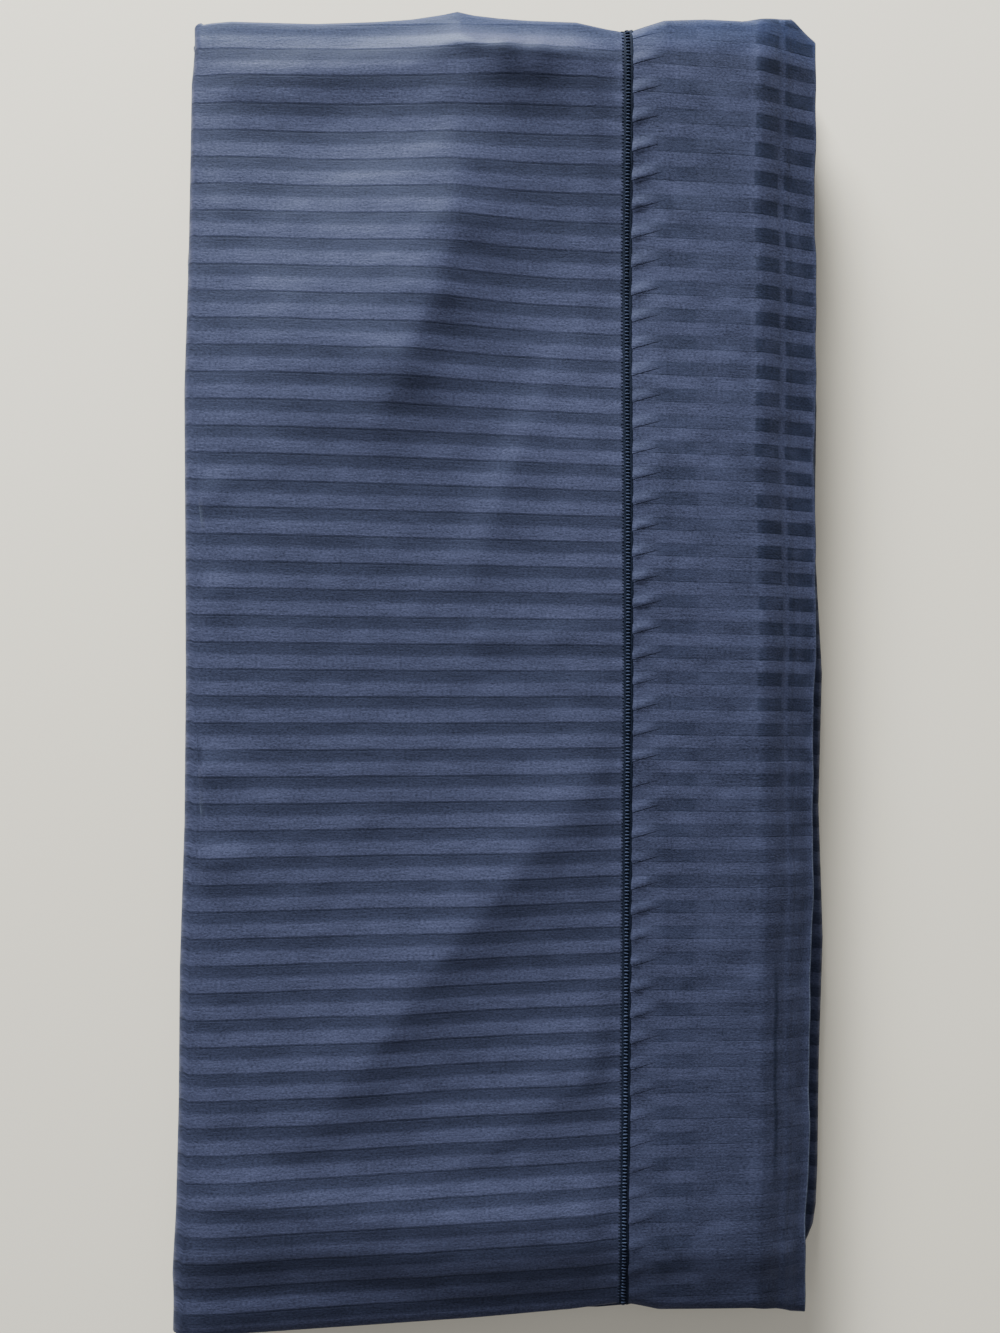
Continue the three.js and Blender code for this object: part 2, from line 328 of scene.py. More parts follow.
def quarterFold(offset, rowsOf):  # points round one side of the four layers, at an offset from their middle
    pitch = cloth["pitch"]
    outer, inner, far, near = bendPlaces()
    selvedge = -cloth["halfLength"] + cloth["selvedgeRecess"]
    legs = [  # from, to, height, which way the face looks, then the bend that follows
        (selvedge, far, -outer, -1, (far, 0, outer, -90, 90, 1, 8)),
        (far, near, outer, 1, (near, pitch, inner, 90, 270, 1, 5)),
        (near, far, inner, -1, (far, 0, inner, 90, -90, -1, 5)),
        (far, selvedge, -inner, 1, None),
    ]
    points = []
    along = 0.0
    for leg, (fromY, toY, height, face, bend) in enumerate(legs):
        length = abs(toY - fromY)
        stops = sorted(y for y in rowsOf(leg) if min(fromY, toY) + 1 < y < max(fromY, toY) - 1)
        if toY < fromY:
            stops.reverse()
        for y in [fromY, *stops, toY]:
            share = (y - fromY) / (toY - fromY)
            points.append({"y": y, "h": height + face * offset, "key": leg + share / 2,
                           "v": along + share * length, "leg": leg, "run": True})
        along += length
        if bend is None:
            break
        y, height, radius, fromAngle, toAngle, grow, steps = bend
        for i in range(1, steps):
            share = i / steps
            angle = math.radians(lerp(fromAngle, toAngle, share))
            r = radius + grow * offset
            points.append({"y": y + r * math.cos(angle), "h": height + r * math.sin(angle),
                           "key": leg + 0.5 + share / 2, "v": along + share * math.pi * radius,
                           "leg": leg, "run": False})
        along += math.pi * radius
    return points


def sagAt(x):
    return sum(drop * smooth(x, start, start + run) for start, run, drop in sags)


def stripPath(topColumns, innerColumns):  # places along the strip, each with the way its face looks
    reachLoss = stripPitch - cloth["foldReachLoss"]
    steps = cloth["bendSteps"]
    tangents = [side * (reach - reachLoss) for side, reach, _, _ in turns]
    path = []

    def add(x, z, nx, nz, strip, turnIndex, onTop=False, fine=False):
        path.append({"x": x, "z": z, "nx": nx, "nz": nz, "strip": strip, "turn": turnIndex, "onTop": onTop,
                     "fine": fine})

    for x in [turns[0][1], *topColumns]:
        slope = sagAt(x + 0.5) - sagAt(x - 0.5)
        length = math.hypot(1, slope)
        add(x, topHeight - sagAt(x), slope / length, 1 / length, 0, 0 if x > 0 else 1, True, True)
    add(tangents[1], topHeight, 0, 1, 0, 1, True)
    for i in range(1, len(turns) - 1):
        side = turns[i][0]
        centre = topHeight - (i - 0.5) * stripPitch
        for k in range(1, steps + 1):
            angle = math.radians(90 - side * 180 * k / steps)
            cosine, sine = math.cos(angle), math.sin(angle)
            add(tangents[i] + stripPitch / 2 * cosine, centre + stripPitch / 2 * sine,
                -side * cosine, -side * sine, i - 0.5, i)
        z = centre - stripPitch / 2
        end = tangents[i + 1] if i + 2 < len(turns) else turns[-1][1]
        low, high = sorted((tangents[i], end))
        between = [x for x in innerColumns if low + 3 < x < high - 3]
        if side > 0:
            between.reverse()
        for x in [*between, end]:
            add(x, z, 0, side, i, i if x * side > 0 else i + 1)
    length = 0.0
    for before, place in zip([path[0], *path], path):
        length += math.hypot(place["x"] - before["x"], place["z"] - before["z"])
        place["u"] = length
    return path


def lowerEnd(end, x, strip):  # where a lower strip ends along y
    line = readTable(end["line"], x)
    for length, size, shift in end["waves"]:
        line += size * wave(x, length, strip * shift)
    return line + end["inset"]


def endSink(x, y):  # the share of the height that the packet loses towards its two ends
    end = endSinks["far" if y > 0 else "near"]
    sink = end["share"] * clamp((abs(y) - end["start"]) / (cloth["halfLength"] - end["start"])) ** 2
    if y > 0:
        return sink
    step = end["step"] - end["stepSlant"] * smooth(-x, *end["slantOver"])
    return end["stepShare"] * smooth(-y, step, step + end["stepRun"]) + sink


def settle(x, y, z, place):  # moves a point of the regular fold to where the real packet has it
    _, _, swell, uneven = turns[place["turn"]]
    out = readTable(sideShare["left" if x < 0 else "right"], y)
    full = math.exp(-((y - fullest["at"]) / fullest["spread"]) ** 2)
    full *= lerp(fullest["least"], 1, smooth(y, *fullest["fade"]))
    grip = smooth(abs(x), *ripples["over"])
    phase = place["turn"] * ripples["phase"]
    ripple = uneven * sum(size * wave(y, length, phase * faster) for length, size, faster in ripples["waves"])
    newX = x * out + math.copysign(1, x) * grip * (swell * full + ripple)
    if place["onTop"]:
        moved = smooth(-y, *creep["along"]) * smooth(x, *creep["start"]) * (1 - smooth(x, *creep["end"]))
        newX += creep["size"] * moved
        near, far = readTable(topNear, x), readTable(topFar, x)
    else:
        near, far = (lowerEnd(lowerEnds[name], x, place["strip"]) for name in ("near", "far"))
    half = cloth["halfLength"]
    newY = lerp(near, far, (y + half) / (2 * half))
    left = clamp((leftSink["start"] - x) / leftSink["run"])
    newZ = z * (1 - endSink(x, y) - leftSink["share"] * left * left - hollowAt(x, y))
    return newX, newY, newZ


def hollowAt(x, y):
    return sum(
        share * math.exp(-((x - midX) / reachX) ** 2 - ((y - midY) / reachY) ** 2)
        for midX, midY, reachX, reachY, share in hollows
    )


def foldAt(fold, x, y):  # how far one soft fold lifts the cloth
    fold = {**foldUsual, **fold}
    found = []
    for (ax, ay, fromHeight), (bx, by, toHeight) in zip(fold["crest"], fold["crest"][1:]):
        dx, dy = bx - ax, by - ay
        share = clamp(((x - ax) * dx + (y - ay) * dy) / (dx * dx + dy * dy))
        offX, offY = x - lerp(ax, bx, share), y - lerp(ay, by, share)
        away = math.hypot(offX, offY)
        rounded = math.hypot(away, fold["round"]) - fold["round"]
        if dx * offY - dy * offX > 0:
            shape = math.exp(-rounded / fold["fall"])
        else:
            shape = clamp(1 - rounded / fold["rise"]) ** fold["power"]
        found.append((away, lerp(fromHeight, toHeight, share) * shape))
    nearest = min(away for away, _ in found)
    weights = [math.exp((nearest - away) / fold["blend"]) for away, _ in found]
    lift = sum(weight * amount for weight, (_, amount) in zip(weights, found)) / sum(weights)
    return lift * smooth(x - foldFade["leftX"], 0, fold["edge"])


def ridgeAt(x, y):  # all the soft folds together, clear of the cord and of the two ends
    total = sum(foldAt(fold, x, y) ** foldFade["power"] for fold in folds.values())
    offHem = smooth(hem["start"] - x, *foldFade["hem"])
    offEnd = smooth(cloth["halfLength"] - abs(y), *foldFade["ends"])
    return total ** (1 / foldFade["power"]) * (offHem * offEnd)


stripes = {  # the slopes are rows of (y, slope), for the front up to the cord
    "pitch": 13.6, "middleLine": 22, "middleAt": 17.5, "leftX": -147, "frontEnd": 70, "hemFrom": 75,
    "hemFall": 0.022,
    "slopes": [(-284, 0.02), (-132, 0.01), (16, -0.008), (137, -0.018), (200, -0.01), (320, 0.035)],
}


def stripeAt(x, y):  # how far a point of the top layer lies along the stripe pattern
    slope = readTable(stripes["slopes"], y)
    rise = slope * (min(x, stripes["frontEnd"]) - stripes["leftX"])
    rise -= stripes["hemFall"] * max(x - stripes["hemFrom"], 0)
    return stripes["middleLine"] * stripes["pitch"] + stripes["middleAt"] + rise - y


puckers = {  # the gathers slant away from the cord, and each rises slowly and falls off sharply
    "crease": 8.3, "slant": 0.3, "height": 0.85, "reach": 15, "cordHalf": 2.2, "frontHeight": 0.3,
    "frontFade": 4, "smallHeight": 0.16, "smallFade": 5,
}


def puckerAt(x, realY):  # the gathers that the cord draws in the hem, one to a stripe
    beyond = x - hem["start"]
    if beyond < -puckers["cordHalf"]:
        turnOf = stripeAt(x, realY) / stripes["pitch"]
        fade = math.exp((beyond + puckers["cordHalf"]) / puckers["frontFade"])
        return puckers["frontHeight"] * fade * (0.5 - 0.5 * math.cos(4 * math.pi * turnOf))
    if beyond < puckers["cordHalf"]:
        return 0.0
    turnOf = (stripeAt(x, realY) + puckers["slant"] * beyond - puckers["crease"]) / stripes["pitch"]
    count = math.floor(turnOf)
    phase = turnOf - count
    strength = 0.68 + 0.32 * math.sin(count * 12.9898)
    reach = puckers["reach"] * (0.85 + 0.2 * math.sin(count * 4.7))
    fade = (1 - smooth(beyond, 0.35 * reach, 1.35 * reach)) * smooth(beyond, puckers["cordHalf"], 3.4)
    rise = smooth(phase, 0.4, 0.95) * (1 - smooth(phase, 0.955, 1.0))
    small = puckers["smallHeight"] * smooth(phase, 0.05, 0.16) * (1 - smooth(phase, 0.22, 0.3))
    small *= math.exp(-beyond / puckers["smallFade"])
    return (puckers["height"] * rise + small) * strength * fade


undulation = {
    "broad": 0.45, "broadSize": 46, "small": 0.3, "smallSize": 17, "smallSquash": 1.6, "ends": (4, 14),
    "left": 14,
}


def fineLift(x, y, realY):  # what the top cloth's face adds to its soft folds
    edge = smooth(cloth["halfLength"] - abs(y), *undulation["ends"])
    small = 0.5 + noiseAt(x, y * undulation["smallSquash"], undulation["smallSize"], 2)
    lift = undulation["broad"] * (0.5 + noiseAt(x, y, undulation["broadSize"], 1))
    lift += undulation["small"] * small * edge
    lift += puckerAt(x, realY) * edge
    if x > hem["start"]:
        lift += hem["extra"] * smooth(x, hem["start"], hem["start"] + hem["extraRun"])
        lift += hem["turnInHeight"] * (1 - smooth(x, *hem["turnIn"]))
        lift += sum(height * math.exp(-((x - at) / width) ** 2) for at, width, height in hem["creases"])
    return lift * smooth(x - foldFade["leftX"], 0, undulation["left"])


def spread(low, high, step):
    count = max(1, round(abs(high - low) / step))
    return [lerp(low, high, i / count) for i in range(count + 1)]


endRows = [300, 311, 321, 330]
innerRows = [-278, -220, -150, -75, 0, 75, 150, 225]
rowSteps = {"fineReach": 338, "fine": 1.9, "back": 12}


def makeLoops():  # the closed section of the quarter fold, with fine rows for the top layer and without
    coarseRows = sorted([-y for y in endRows] + innerRows + endRows)
    fineRows = spread(-rowSteps["fineReach"], rowSteps["fineReach"], rowSteps["fine"])
    backRuns = spread(-endRows[0], endRows[0], rowSteps["back"])
    midRows = sorted(backRuns + [-y for y in endRows[1:]] + endRows[1:])
    thick = cloth["thick"]

    def loop(faceRows, backRows, drop):
        face = quarterFold(thick / 2, lambda leg: faceRows if leg == 1 else coarseRows)
        back = quarterFold(-thick / 2, lambda leg: backRows if leg == 1 else coarseRows)
        for point in face:
            point["back"] = False
        for point in back:
            point["back"] = True
            if point["leg"] == 1 and point["run"]:
                point["h"] -= drop
        back.reverse()
        return face + back

    return loop(fineRows, midRows, cloth["backDrop"]), loop(coarseRows, coarseRows, 0.0)


topColumns = (
    spread(170.7, 132, 1.9) + spread(129, 96, 3.3) + spread(94, 70, 1.6)
    + [68.5] + spread(67, 60, 1.75) + spread(57.5, -138, 3.1) + [-141.5, -145, -149]
)
innerColumns = [-145, -138, -112, -84, -56, -28, 0, 28, 56, 84, 112, 138, 152]


def makeSheet():
    fineLoop, coarseLoop = makeLoops()
    farV = next(p["v"] for p in coarseLoop if p["key"] == 1.0)
    half = cloth["halfLength"]
    sideX = -150  # the lower strips take their stripes from here
    rings, points, corners = [], [], []

    def stripeV(point, place, realY):
        x = place["x"]
        if not place["onTop"]:
            x = sideX
            realY = lerp(readTable(topNear, x), readTable(topFar, x), (point["y"] + half) / (2 * half))
        if point["leg"] == 1 and point["run"]:
            return stripeAt(x, realY)
        v = point["v"] - farV
        if point["leg"] == 0:
            return v + stripeAt(x, readTable(topFar, x))
        return v + (stripeAt(x, readTable(topNear, x)) - cloth["topRun"])

    for place in stripPath(topColumns, innerColumns):
        ring = []
        loop = fineLoop if place["fine"] else coarseLoop
        for point in loop:
            h, y = point["h"], point["y"]
            x, z = place["x"] + place["nx"] * h, place["z"] + place["nz"] * h
            _, realY, _ = settle(x, y, z, place)
            if place["fine"] and point["leg"] == 1 and point["run"]:
                lift = ridgeAt(place["x"], y)
                if not point["back"]:
                    lift += fineLift(place["x"], y, realY)
                x, z = x + place["nx"] * lift, z + place["nz"] * lift
            ring.append(len(points))
            points.append(tuple(c * mm for c in settle(x, y, z, place)))
            corners.append((place["u"], stripeV(point, place, realY), point, place))
        rings.append((ring, loop))
    return rings, points, corners


backKey = 8  # the keys of the back run down from here, so that one round of a loop runs upwards
pastEnd = 100  # above every key
tiny = 1e-9


def joinRings(rings):  # triangles between neighbouring rings, which can have different numbers of points
    faces = []

    def keyOf(loop, k):
        if k >= len(loop):
            return pastEnd + k - len(loop)
        return backKey - loop[k]["key"] if loop[k]["back"] else loop[k]["key"]

    for (ringA, loopA), (ringB, loopB) in zip(rings, rings[1:]):
        i = j = 0
        a, b = len(ringA), len(ringB)
        while i < a or j < b:
            if loopA[min(i, a - 1)]["back"]:
                ahead = keyOf(loopA, i) < keyOf(loopB, j) - tiny
            else:
                ahead = keyOf(loopA, i + 1) <= keyOf(loopB, j + 1) + tiny
            if ahead:
                faces.append((ringA[i % a], ringB[j % b], ringA[(i + 1) % a]))
                i += 1
            else:
                faces.append((ringA[i % a], ringB[j % b], ringB[(j + 1) % b]))
                j += 1
    return faces


def capFaces(ring, loop, turnOver):  # closes the cloth's edge between its face and its back
    face = [k for k, p in zip(ring, loop) if not p["back"]]
    back = [k for k, p in zip(ring, loop) if p["back"]][::-1]
    keys = {k: p["key"] for k, p in zip(ring, loop)}
    faces = []
    i = j = 0
    while i + 1 < len(face) or j + 1 < len(back):
        nextI = keys[face[i + 1]] if i + 1 < len(face) else pastEnd
        nextJ = keys[back[j + 1]] if j + 1 < len(back) else pastEnd
        if nextI <= nextJ:
            made = (face[i], face[i + 1], back[j])
            i += 1
        else:
            made = (face[i], back[j + 1], back[j])
            j += 1
        faces.append(made[::-1] if turnOver else made)
    return faces


def shiftToFrame(points):  # to the frame's origin, with nothing below the floor
    dx, dy = origin["x"] * mm, origin["y"] * mm
    return [(x - dx, y - dy, max(z, 0.0)) for x, y, z in points]


def newObject(name, points, faces):
    mesh = bpy.data.meshes.new(name)
    mesh.from_pydata(points, [], faces)
    mesh.validate()
    mesh.update()
    made = bpy.data.objects.new(name, mesh)
    bpy.context.scene.collection.objects.link(made)
    return made


# The top cloth fills the lower half of the map, and the folded layers share thin bands above it.
bakeLayout = {
    "legStarts": (0.0, 687.6, 1371.0, 2055.0), "legLength": 696, "topWidth": 345, "pathLength": 2700,
    "margin": 0.01, "long": 0.98, "topShare": 0.47, "bandsFrom": 0.5, "bandPitch": 0.06, "bandGap": 0.004,
    "bandShare": 0.05,
}


def bakeMap(u, point, leg, onTop):
    layout = bakeLayout
    share = clamp((point["v"] - layout["legStarts"][leg]) / layout["legLength"])
    along = layout["margin"] + layout["long"] * share
    if onTop:
        return along, layout["margin"] + layout["topShare"] * clamp(u / layout["topWidth"])
    band = leg + (4 if point["back"] else 0)
    start = layout["bandsFrom"] + layout["bandPitch"] * band + layout["bandGap"]
    return along, start + layout["bandShare"] * clamp(u / layout["pathLength"])


def isTop(corner):
    _, _, point, place = corner
    return place["onTop"] and point["leg"] in (0, 1) and not point["back"] and point["key"] >= 0.5


rings, points, cornerNotes = makeSheet()
faces = joinRings(rings)
faces += capFaces(*rings[0], False) + capFaces(*rings[-1], True)
sheet = newObject("sheet", shiftToFrame(points), faces)
mesh = sheet.data
clothMap = mesh.uv_layers.new(name="cloth")
bake = mesh.uv_layers.new(name="OFBake")
for polygon in mesh.polygons:
    corners = [cornerNotes[mesh.loops[k].vertex_index] for k in polygon.loop_indices]
    onTop = all(isTop(corner) for corner in corners)
    leg = 1 if onTop else min(corner[2]["leg"] for corner in corners)
    for k, (u, v, point, _) in zip(polygon.loop_indices, corners):
        clothMap.data[k].uv = (u * mm, v * mm)
        bake.data[k].uv = bakeMap(u, point, leg, onTop)
    polygon.use_smooth = True
print("sheet made:", len(mesh.polygons), "faces")


# The striped cloth

fabric = {  # lengths are in metres
    "satin": (0.045, 0.049, 0.087, 1), "matte": (0.0265, 0.0295, 0.0535, 1),
    # hemShade is the colour of painted shade on the hem
    # line is painted shade: the thin shadow where each raised satin stripe steps down to the next matte
    # stripe
    "line": (0.012, 0.0135, 0.025, 1), "hemShade": (0.013, 0.016, 0.032, 1), "edge": (0.13, 0.15, 0.2, 1),
    # farFoldLitTint is painted light: the tint of the far fold where light falls full on it
    "farFoldLitTint": (0.66, 0.8, 1.0, 1),
    "pitch": stripes["pitch"] * mm, "drift": 0.0016, "warp": 0.00062, "weft": 0.00048,
    "hemWidth": 0.1045, "gather": (0.088, 0.096), "gatherFade": (0.006, 0.02),
}
# where satin, its raised pile of threads and a gather start, are full, fade and end within one stripe
stripeSpans = {
    "front": (0.36, 0.56, 0.975, 1.0), "hem": (0.455, 0.495, 0.90, 1.0), "puff": (0.3, 0.8, 0.95, 1.0),
    "crease": (0.5, 0.96, 0.965, 0.998),
}
hemBands = {  # the same four for bands across the hem, in metres from its outer fold
    "outerSlope": (0.001, 0.003, 0.0195, 0.0207), "innerSlope": (0.0238, 0.025, 0.0368, 0.038),
    "turnedIn": (0.066, 0.07, 0.085, 0.092),
}
satinLook = {
    "Sheen Weight": 0.06, "Sheen Roughness": 0.4, "Sheen Tint": (0.6, 0.72, 1, 1),
    "Specular IOR Level": 0.14, "Specular Tint": (0.55, 0.7, 1, 1),
}


def makeClothMaterial():  # u runs along the stripes from the hem's outer fold, and v across the stripes
    g = Graph("stripedCloth")
    where = g.node("ShaderNodeUVMap", {"uv_map": "cloth"})
    u, v = g.split(where)

    drift = g.noise(g.stretch(where, 9, 2), 1.0, 2.0) - 0.5
    phase = g.maths("FRACT", (v + drift * fabric["drift"]) / fabric["pitch"])
    hemSide = 1 - g.step(u, fabric["hemWidth"] - 0.001, fabric["hemWidth"] + 0.001)
    frontSatin = g.span(phase, *stripeSpans["front"])
    satin = frontSatin + (g.span(phase, *stripeSpans["hem"]) - frontSatin) * hemSide
    # painted shade: a thin dark line at the step between stripes, at the start of the dark stripe on the
    # front and at its end on the hem; the bump below also dents it a little
    frontShadeLine = g.bell(phase, 0.035, 0.045)
    line = frontShadeLine + (g.bell(phase, 0.455, 0.03) - frontShadeLine) * hemSide
    lineGap = g.step(g.noise(g.stretch(where, 24, 73), 1.0, 2.0), 0.28, 0.6)
    # painted highlight: on the far fold, where the light falls full on it, the stripes and their lines are
    # faded out and the colour is tinted bluer
    farFold = g.bell(v, -0.021, 0.026)
    # painted light: the stripe contrast is lowered where the cloth rolls over its left edge and the light
    # washes it
    edgeFade = g.bell(u, 0.3265, 0.012)

    # the hem's doubled cloth, with painted shade: its two slopes, which fall away from the light, are painted
    # darker (more so in the upper part) and with stronger stripe contrast, weaker between, and the turned-in
    # band a little darker
    slopes = g.span(u, *hemBands["outerSlope"]) + g.span(u, *hemBands["innerSlope"])
    band = g.span(u, *hemBands["turnedIn"])
    upper = 1 - g.step(v, 0.26, 0.44)
    # painted highlight: light lines along the ridges of the hem's creases, in the satin colour
    creaseHighlight = g.bell(u, 0.0222, 0.0018) + g.bell(u, 0.0395, 0.002) * 0.6
    unevenAmount = g.step(g.noise(g.stretch(where, 55, 36), 1.0, 1.0), 0.38, 0.5)
    slopeShade = (slopes * (0.1 + upper * 0.9) + band * 0.4) * (0.35 + unevenAmount * 0.65) * (1 - satin)
    gathered = hemSide * g.step(u, *fabric["gather"]) * 0.32
    hemLoss = hemSide * (0.5 + g.step(v, 0.4, 0.55) * 0.22 - slopes * upper * 0.35 - band * 0.15)
    contrast = 1 - hemLoss - gathered - farFold * 0.8 - edgeFade * 0.3
    shown = 0.55 + (satin - 0.55) * contrast

    weave = g.noise(g.stretch(where, 700, 1300), 1.0, 3.0, 0.62)
    slub = g.noise(g.stretch(where, 90, 900), 1.0, 2.0, 0.5)
    mottled = g.noise(where, 38.0, 3.0, 0.55)
    patchy = (g.noise(g.stretch(where, 42, 70), 1.0, 2.0) - 0.54) * hemSide

    base = g.mix(shown, fabric["matte"], fabric["satin"])
    # the painted shade line at each stripe step
    base = g.mix(line * lineGap * (0.35 - hemSide * 0.05) * (1 - farFold), base, fabric["line"])
    # painted shade on the hem's slopes and turned-in band, on the dark stripes only
    base = g.mix(slopeShade * 0.7, base, fabric["hemShade"])
    # the painted crease highlights
    base = g.mix(creaseHighlight * (0.2 + upper * 0.2), base, fabric["satin"])
    hemEdge = (1 - g.step(u, 0.0003, 0.0011)) * g.step(u, -0.001, 0.0)
    base = g.mix(hemEdge * (0.3 + 0.4 * g.step(v, 0.3, 0.45)), base, fabric["edge"])
    shade = g.bell(u, 0.0276, 0.0022) * g.span(v, 0.46, 0.49, 0.56, 0.6)
    base = g.mix(shade * 0.85, base, fabric["hemShade"])
    # painted shade: on the front the grain is darker just past each stripe step and lightens across the dark
    # stripe, and it is a little darker towards the end of the satin
    stripeShadeRamp = 1 - g.step(phase, 0.6, 1.0) * 0.04 - (1 - g.step(phase, 0.05, 0.4)) * 0.1 * (1 - hemSide)
    grain = (weave * 2.25 + slub * 0.75 + (mottled - 0.5) * 0.3 - 0.5 + patchy * 0.9) * stripeShadeRamp
    base = g.mix(1.0, base, g.grey(grain), "MULTIPLY")
    # the painted tint of the lit far fold
    base = g.mix(farFold * 0.85, base, fabric["farFoldLitTint"], "MULTIPLY")

    warp = g.maths("SINE", u * (2 * math.pi / fabric["warp"]))
    weft = g.maths("SINE", v * (2 * math.pi / fabric["weft"]))
    puff = g.span(phase, *stripeSpans["puff"]) * (1 - hemSide * 0.7)
    height = puff * 0.35 + warp * weft * 0.06 + weave * 0.45 + slub * 0.3 - line * lineGap * 0.2
    beyond = fabric["hemWidth"] - u
    gatherPlace = v + beyond * puckers["slant"] - puckers["crease"] * mm
    creases = g.span(g.maths("FRACT", gatherPlace / fabric["pitch"]), *stripeSpans["crease"])
    creases = creases * hemSide * (1 - g.step(beyond, *fabric["gatherFade"]))
    creases = creases * (0.45 + 0.55 * (1 - g.step(v, 0.38, 0.5))) * (0.4 + unevenAmount * 0.6)
    deep = g.bump(creases, 0.6, 0.0008)
    rough = 0.62 - satin * 0.16 + (weave - 0.5) * 0.12
    look = {"Base Color": base, "Roughness": rough, "Normal": g.bump(height, 0.55, 0.00045, deep)}
    return g.finish({**look, **satinLook})


sheet.data.materials.append(makeClothMaterial())
print("cloth material made")


# The corded stitch line that closes the hem

cord = {
    "shift": 0.5, "width": 5.2, "height": 0.95, "clear": 0.1, "facets": 10, "wrap": 112, "step": 2.2,
    "farSteps": 6, "nearSteps": 5, "wobbles": [(0.12, 3.1), (0.1, 1.3)],
}
threads = {
    "cordThread": {"dark": (0.003, 0.004, 0.009, 1), "light": (0.01, 0.013, 0.025, 1), "scale": 2600},
    "stitchThread": {"dark": (0.014, 0.018, 0.033, 1), "light": (0.04, 0.05, 0.085, 1), "scale": 3000},
    "needleThread": {"dark": (0.008, 0.01, 0.018, 1), "light": (0.03, 0.036, 0.06, 1), "scale": 2600},
}
stitchRows = {
    "hemBeads": {"thread": "stitchThread", "across": -0.55, "above": 1.0, "seed": 3,
                 "sizes": {"Pitch": 1.8, "Length": 2.7, "Thickness": 1.054}},
    "hemNeedleMarks": {"thread": "needleThread", "across": -3.0, "above": 0.16, "seed": 8,
                       "sizes": {"Pitch": 1.8, "Length": 1.7, "Thickness": 0.4}},
}
# the least and the most that a stitch leans and grows
leans = {0: (-0.1, -0.1, -0.22), 1: (0.1, 0.1, 0.1)}
growths = {0: (0.8, 0.85, 0.85), 1: (1.1, 1.15, 1.15)}


def cordStops():  # round the far bend, along the top and round the near bend: y, height, radius, angle
    outer, inner, far, near = bendPlaces()
    wrap, farSteps, nearSteps = cord["wrap"], cord["farSteps"], cord["nearSteps"]
    stops = []
    for i in range(farSteps + 1):
        stops.append((far, 0, outer, math.radians(lerp(90 - wrap, 90, i / farSteps))))
    for y in reversed(spread(-rowSteps["fineReach"], rowSteps["fineReach"], cord["step"])):
        stops.append((y, outer, 0, math.radians(90)))
    for i in range(nearSteps + 1):
        stops.append((near, cloth["pitch"], inner, math.radians(lerp(90, 90 + wrap, i / nearSteps))))
    return stops


def cordPoint(stop, across, above):
    y, h, radius, angle = stop
    place = {"onTop": True, "turn": 0, "strip": 0}
    x = hem["start"] + cord["shift"] + across
    _, realY, _ = settle(x, y, topHeight, place)
    lift = ridgeAt(x, y) + fineLift(hem["start"], y, realY) if radius == 0 else 0.0
    off = radius + cloth["thick"] / 2 + above + lift
    return settle(x, y + off * math.cos(angle), topHeight + h + off * math.sin(angle), place)


def makeCord():
    rings = []
    for stop in cordStops():
        ring = []
        for k in range(cord["facets"] + 1):
            angle = math.pi * k / cord["facets"]
            edge = sum(size * math.sin(stop[0] * rate) for size, rate in cord["wobbles"])
            across = -(cord["width"] / 2 + edge) * math.cos(angle)
            bulge = cord["height"] * math.sin(angle) ** 0.8
            above = cord["clear"] + bulge * (0.8 + 0.2 * math.cos(2 * angle + 1))
            ring.append(cordPoint(stop, across, above))
        rings.append(ring)
    points = [tuple(c * mm for c in p) for ring in rings for p in ring]
    size = cord["facets"] + 1
    faces = []
    for n in range(len(rings) - 1):
        for k in range(size):
            a, b = n * size + k, n * size + (k + 1) % size
            faces.append((a, a + size, b + size, b))
    faces.append(tuple(range(size)))
    faces.append(tuple(len(points) - 1 - k for k in range(size)))
    made = newObject("hemCord", shiftToFrame(points), faces)
    for polygon in made.data.polygons[:-2]:
        polygon.use_smooth = True
    return made


def makeThreadMaterial(name, dark, light, scale):
    g = Graph(name)
    where = g.node("ShaderNodeTexCoord", output=objectSpace)
    fine = g.noise(g.stretch(where, scale, scale * 0.35, scale), 1.0, 3.0, 0.6)
    broad = g.noise(where, 60.0, 2.0)
    base = g.mix(g.step(fine, 0.3, 0.7), dark, light)
    base = g.mix(1.0, base, g.grey(0.7 + broad * 0.6), "MULTIPLY")
    return g.finish({
        "Base Color": base, "Roughness": 0.55 + fine * 0.25, "Normal": g.bump(fine, 0.7, 0.0003),
        "Specular IOR Level": 0.12, "Specular Tint": (0.6, 0.75, 1, 1),
    })


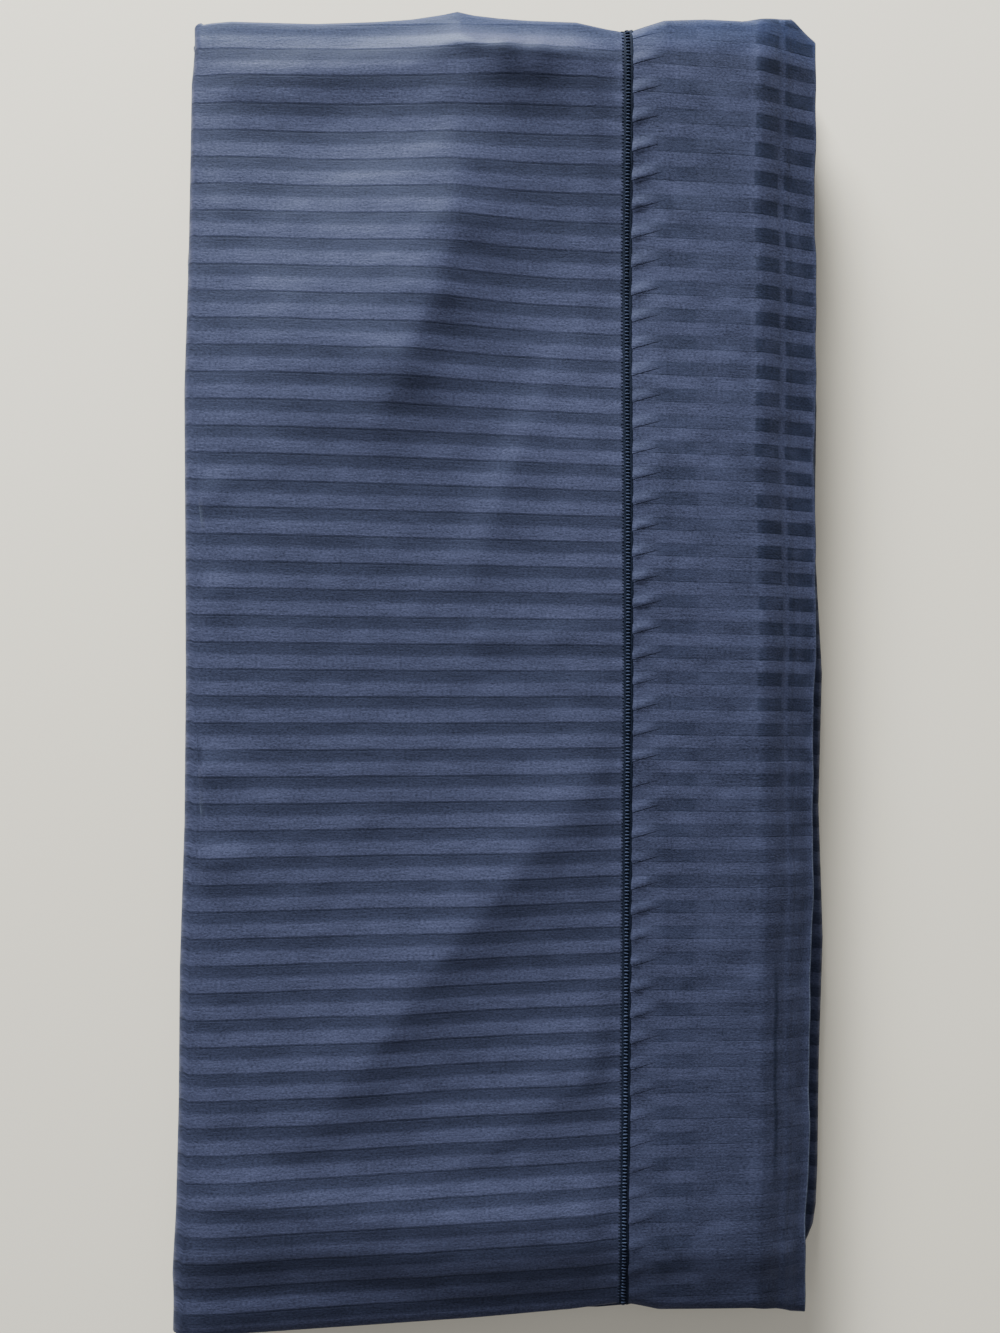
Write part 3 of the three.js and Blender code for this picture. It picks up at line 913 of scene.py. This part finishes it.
def stitchTree(material):  # sets a small leaning ellipsoid at each stitch along a path
    tree = bpy.data.node_groups.new("stitchRow", "GeometryNodeTree")
    face = tree.interface
    face.new_socket("Path", in_out="INPUT", socket_type="NodeSocketGeometry")
    for name in ("Pitch", "Length", "Thickness"):
        face.new_socket(name, in_out="INPUT", socket_type="NodeSocketFloat")
    face.new_socket("Seed", in_out="INPUT", socket_type="NodeSocketInt")
    face.new_socket("Stitches", in_out="OUTPUT", socket_type="NodeSocketGeometry")

    def add(kind, inputs, **settings):
        made = tree.nodes.new(kind)
        for key, value in settings.items():
            setattr(made, key, value)
        for key, value in inputs.items():
            if isinstance(value, bpy.types.NodeSocket):
                tree.links.new(value, made.inputs[key])
            else:
                made.inputs[key].default_value = value
        return made.outputs[0]

    group = tree.nodes.new("NodeGroupInput").outputs
    spacing = {"Curve": group["Path"], "Length": group["Pitch"]}
    spots = add("GeometryNodeResampleCurve", spacing, mode="LENGTH")
    ball = add("GeometryNodeMeshUVSphere", {"Segments": 8, "Rings": 7, "Radius": 0.5})
    size = add("ShaderNodeCombineXYZ", {0: group["Length"], 1: group["Thickness"], 2: group["Thickness"]})
    stitch = add("GeometryNodeTransform", {"Geometry": ball, "Scale": size})
    lean = add("FunctionNodeRandomValue", {**leans, "Seed": group["Seed"]}, data_type="FLOAT_VECTOR")
    grow = add("FunctionNodeRandomValue", {**growths, "Seed": group["Seed"]}, data_type="FLOAT_VECTOR")
    placing = {"Points": spots, "Instance": stitch, "Rotation": lean, "Scale": grow}
    row = add("GeometryNodeInstanceOnPoints", placing)
    real = add("GeometryNodeRealizeInstances", {"Geometry": row})
    smoothRow = add("GeometryNodeSetShadeSmooth", {"Geometry": real})
    painted = add("GeometryNodeSetMaterial", {"Geometry": smoothRow, "Material": material})
    tree.links.new(painted, tree.nodes.new("NodeGroupOutput").inputs["Stitches"])
    return tree


def makeStitches(name, thread, across, above, seed, sizes):
    curve = bpy.data.curves.new(name, "CURVE")
    curve.dimensions = "3D"
    route = [tuple(c * mm for c in cordPoint(stop, across, above)) for stop in cordStops()]
    spline = curve.splines.new("POLY")
    spline.points.add(len(route) - 1)
    for point, (x, y, z) in zip(spline.points, shiftToFrame(route)):
        point.co = (x, y, z, 1)
    path = bpy.data.objects.new(name, curve)
    bpy.context.scene.collection.objects.link(path)
    modifier = path.modifiers.new("stitches", "NODES")
    modifier.node_group = stitchTree(threadMaterials[thread])
    values = {"Seed": seed, **{key: size * mm for key, size in sizes.items()}}
    for item in modifier.node_group.interface.items_tree:
        if item.in_out == "INPUT" and item.name in values:
            modifier[item.identifier] = values[item.name]
    bpy.context.view_layer.update()
    shape = bpy.data.meshes.new_from_object(path.evaluated_get(bpy.context.evaluated_depsgraph_get()))
    bpy.data.objects.remove(path)
    made = bpy.data.objects.new(name, shape)
    bpy.context.scene.collection.objects.link(made)
    return made


hemCord = makeCord()
threadMaterials = {name: makeThreadMaterial(name, **look) for name, look in threads.items()}
hemCord.data.materials.append(threadMaterials["cordThread"])
beads, needles = (makeStitches(name, **row) for name, row in stitchRows.items())
print("hem cord made:", len(beads.data.polygons), "stitch faces")


# The surface it lies on

ground = {
    "half": 4, "patches": 3.0, "dark": (0.85, 0.775, 0.62, 1), "light": (0.9, 0.83, 0.68, 1),
    "roughness": 0.9,
}


def makeFloorMaterial():
    g = Graph("paleFloor")
    patches = g.noise(g.node("ShaderNodeTexCoord", output=objectSpace), ground["patches"])
    shade = g.mix(patches, ground["dark"], ground["light"])
    return g.finish({"Base Color": shade, "Roughness": ground["roughness"]})


half = ground["half"]
floorCorners = [(-half, -half, 0), (half, -half, 0), (half, half, 0), (-half, half, 0)]
floor = newObject("floor", floorCorners, [(0, 1, 2, 3)])
floor.data.materials.append(makeFloorMaterial())

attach(sheet, "root")
for piece in (hemCord, beads, needles):
    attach(piece, "root")
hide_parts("sheet")
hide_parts("hem_cord")
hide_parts("hem_cord")
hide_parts("hem_cord")
